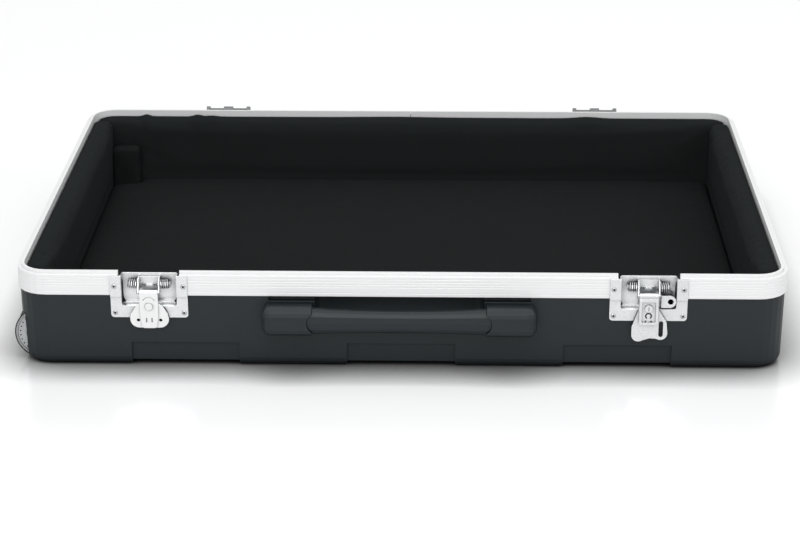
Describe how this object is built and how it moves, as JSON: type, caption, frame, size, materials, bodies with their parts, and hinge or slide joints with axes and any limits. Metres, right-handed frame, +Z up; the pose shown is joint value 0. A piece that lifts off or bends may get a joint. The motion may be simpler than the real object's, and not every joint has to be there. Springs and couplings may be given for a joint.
{
  "type": "mixer case",
  "caption": "Base half of a rolling moulded case: lined open tray with an aluminium rim, recessed latches, a carry handle, take-apart hinge halves and corner wheels.",
  "frame": {"origin": "below the middle of the whole part, on the floor it stands on", "axes": "+X to the right along the front, +Y towards the hinges at the back, +Z up"},
  "size_m": [0.8558, 0.6324, 0.1121],
  "materials": {
    "black_shell": "fine moulded grain",
    "bright_rim": "satin, finely grooved",
    "black_lining": "matt woven fabric over foam",
    "plated_steel": "bright plated",
    "pin_steel": "plain",
    "black_handle": "moulded, slight sheen",
    "black_tyre": "matt",
    "grey_hub": "moulded"
  },
  "bodies": {
    "case": {"shell": "black_shell", "rim_left": "bright_rim", "rim_front": "bright_rim", "rim_right": "bright_rim", "rim_splice": "bright_rim", "floor_pad": "black_lining", "wall_pad_front": "black_lining", "wall_pad_back": "black_lining", "wall_pad_left": "black_lining", "wall_pad_right": "black_lining", "wheel_pad_front": "black_lining", "wheel_pad_rear": "black_lining", "wheel_plate_front_outer": "plated_steel", "wheel_plate_front_inner": "plated_steel", "wheel_plate_rear_outer": "plated_steel", "wheel_plate_rear_inner": "plated_steel", "left_dish": "plated_steel", "left_bracket": "plated_steel", "right_dish": "plated_steel", "right_bracket": "plated_steel", "right_lug": "plated_steel", "hinge_leaf_left": "plated_steel", "hinge_leaf_right": "plated_steel", "wheel_axle_front": "pin_steel", "wheel_axle_rear": "pin_steel", "handle_core": "pin_steel", "handle_backing_left": "pin_steel", "handle_backing_right": "pin_steel", "left_hinge_pin": "pin_steel", "left_stud_left": "pin_steel", "left_stud_right": "pin_steel", "left_spring_left": "pin_steel", "left_spring_right": "pin_steel", "right_hinge_pin": "pin_steel", "right_stud_left": "pin_steel", "right_stud_right": "pin_steel", "right_spring_left": "pin_steel", "right_spring_right": "pin_steel", "hinge_pin_left": "pin_steel", "hinge_pin_right": "pin_steel", "handle_cap_left": "black_handle", "handle_cap_right": "black_handle", "handle_grip": "black_handle"},
    "left_arm": {"left_arm": "plated_steel", "left_rivet": "pin_steel"},
    "left_wing": {"left_wing": "plated_steel"},
    "right_arm": {"right_arm": "plated_steel"},
    "right_paddle": {"right_paddle": "plated_steel"},
    "right_lock": {"right_lock": "pin_steel"},
    "wheel_front": {"wheel_tyre_front": "black_tyre", "wheel_hub_front": "grey_hub"},
    "wheel_rear": {"wheel_tyre_rear": "black_tyre", "wheel_hub_rear": "grey_hub"}
  },
  "joints": [
    {"name": "left_arm_hinge", "type": "hinge", "parent": "case", "child": "left_arm", "pos_m": [-0.27405, -0.29535, 0.089], "axis": [-1, 0, 0], "range_deg": [0, 170]},
    {"name": "left_wing_pivot", "type": "hinge", "parent": "left_arm", "child": "left_wing", "pos_m": [-0.27405, -0.29575, 0.0733], "axis": [0, -1, 0], "range_deg": [-40, 40]},
    {"name": "right_arm_hinge", "type": "hinge", "parent": "case", "child": "right_arm", "pos_m": [0.27345, -0.29535, 0.089], "axis": [-1, 0, 0], "range_deg": [0, 170]},
    {"name": "right_paddle_pivot", "type": "hinge", "parent": "right_arm", "child": "right_paddle", "pos_m": [0.27345, -0.29575, 0.075], "axis": [0, -1, 0], "range_deg": [0, 55]},
    {"name": "right_lock_turn", "type": "hinge", "parent": "right_arm", "child": "right_lock", "pos_m": [0.27345, -0.29825, 0.075], "axis": [0, -1, 0], "range_deg": [0, 90]},
    {"name": "front_wheel_spin", "type": "hinge", "parent": "case", "child": "wheel_front", "pos_m": [-0.39775, -0.26195, 0.0305], "axis": [0, 1, 0], "continuous": true},
    {"name": "rear_wheel_spin", "type": "hinge", "parent": "case", "child": "wheel_rear", "pos_m": [-0.39775, 0.27245, 0.0305], "axis": [0, 1, 0], "continuous": true}
  ]
}
